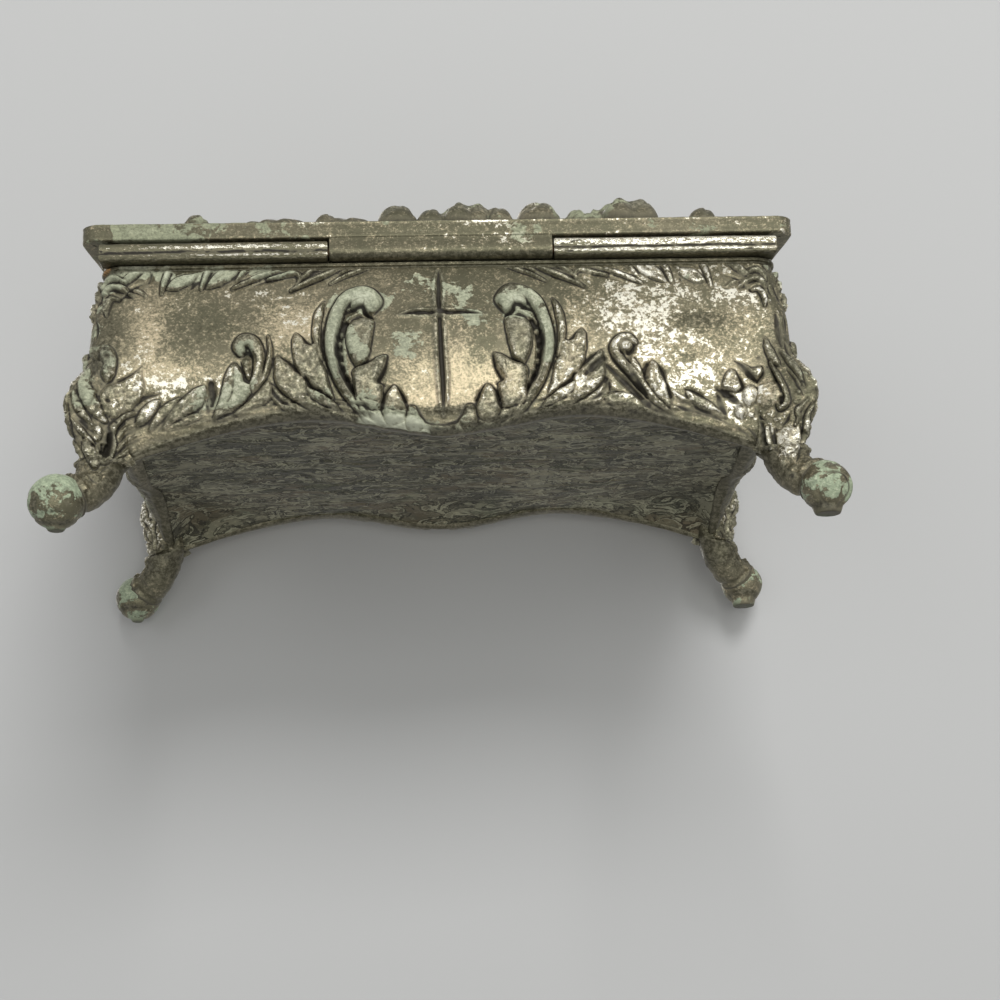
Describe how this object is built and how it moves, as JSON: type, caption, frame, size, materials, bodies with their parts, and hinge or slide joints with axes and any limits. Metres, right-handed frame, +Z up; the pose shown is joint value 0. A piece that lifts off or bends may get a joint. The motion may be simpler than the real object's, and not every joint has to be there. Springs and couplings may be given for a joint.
{
  "type": "footed rosary box",
  "caption": "Small cast-metal rosary casket on cabriole legs, with a cross and scrolls on its wall, a long pin hinge and a raised floral lid.",
  "frame": {"origin": "middle of the footprint, on the surface that the toes stand on", "axes": "+Z up, +X along the length to the right seen from the front, +Y towards the hinge side"},
  "size_m": [0.1018, 0.0634, 0.0457],
  "materials": {
    "cast_wall": "worn silver plate over cast white metal, brown-grey tarnish with bright flakes and green verdigris",
    "bottom": "rough, streaky unpolished casting, dark olive tarnish",
    "legs": "worn silver plate with sage-green verdigris on the toes",
    "hinge_bar": "bright worn silver plate",
    "pin": "dull steel wire with rusted ends",
    "lid": "worn silver plate with sage-green verdigris along the edge",
    "velvet": "short-pile wine-red velvet"
  },
  "bodies": {
    "box": {"front_panel": "cast_wall", "back_panel": "cast_wall", "left_end_panel": "cast_wall", "right_end_panel": "cast_wall", "bottom_plate": "bottom", "leg_front_left": "legs", "leg_front_right": "legs", "leg_back_left": "legs", "leg_back_right": "legs", "hinge_bar_left": "hinge_bar", "hinge_bar_right": "hinge_bar", "hinge_pin": "pin", "floor_cushion": "velvet", "wall_lining": "velvet"},
    "lid": {"lid": "lid", "lid_cushion": "velvet"}
  },
  "joints": [
    {"name": "lid_hinge", "type": "hinge", "parent": "box", "child": "lid", "pos_m": [0, 0.026, 0.03675], "axis": [-1, 0, 0], "range_deg": [0, 105]}
  ]
}
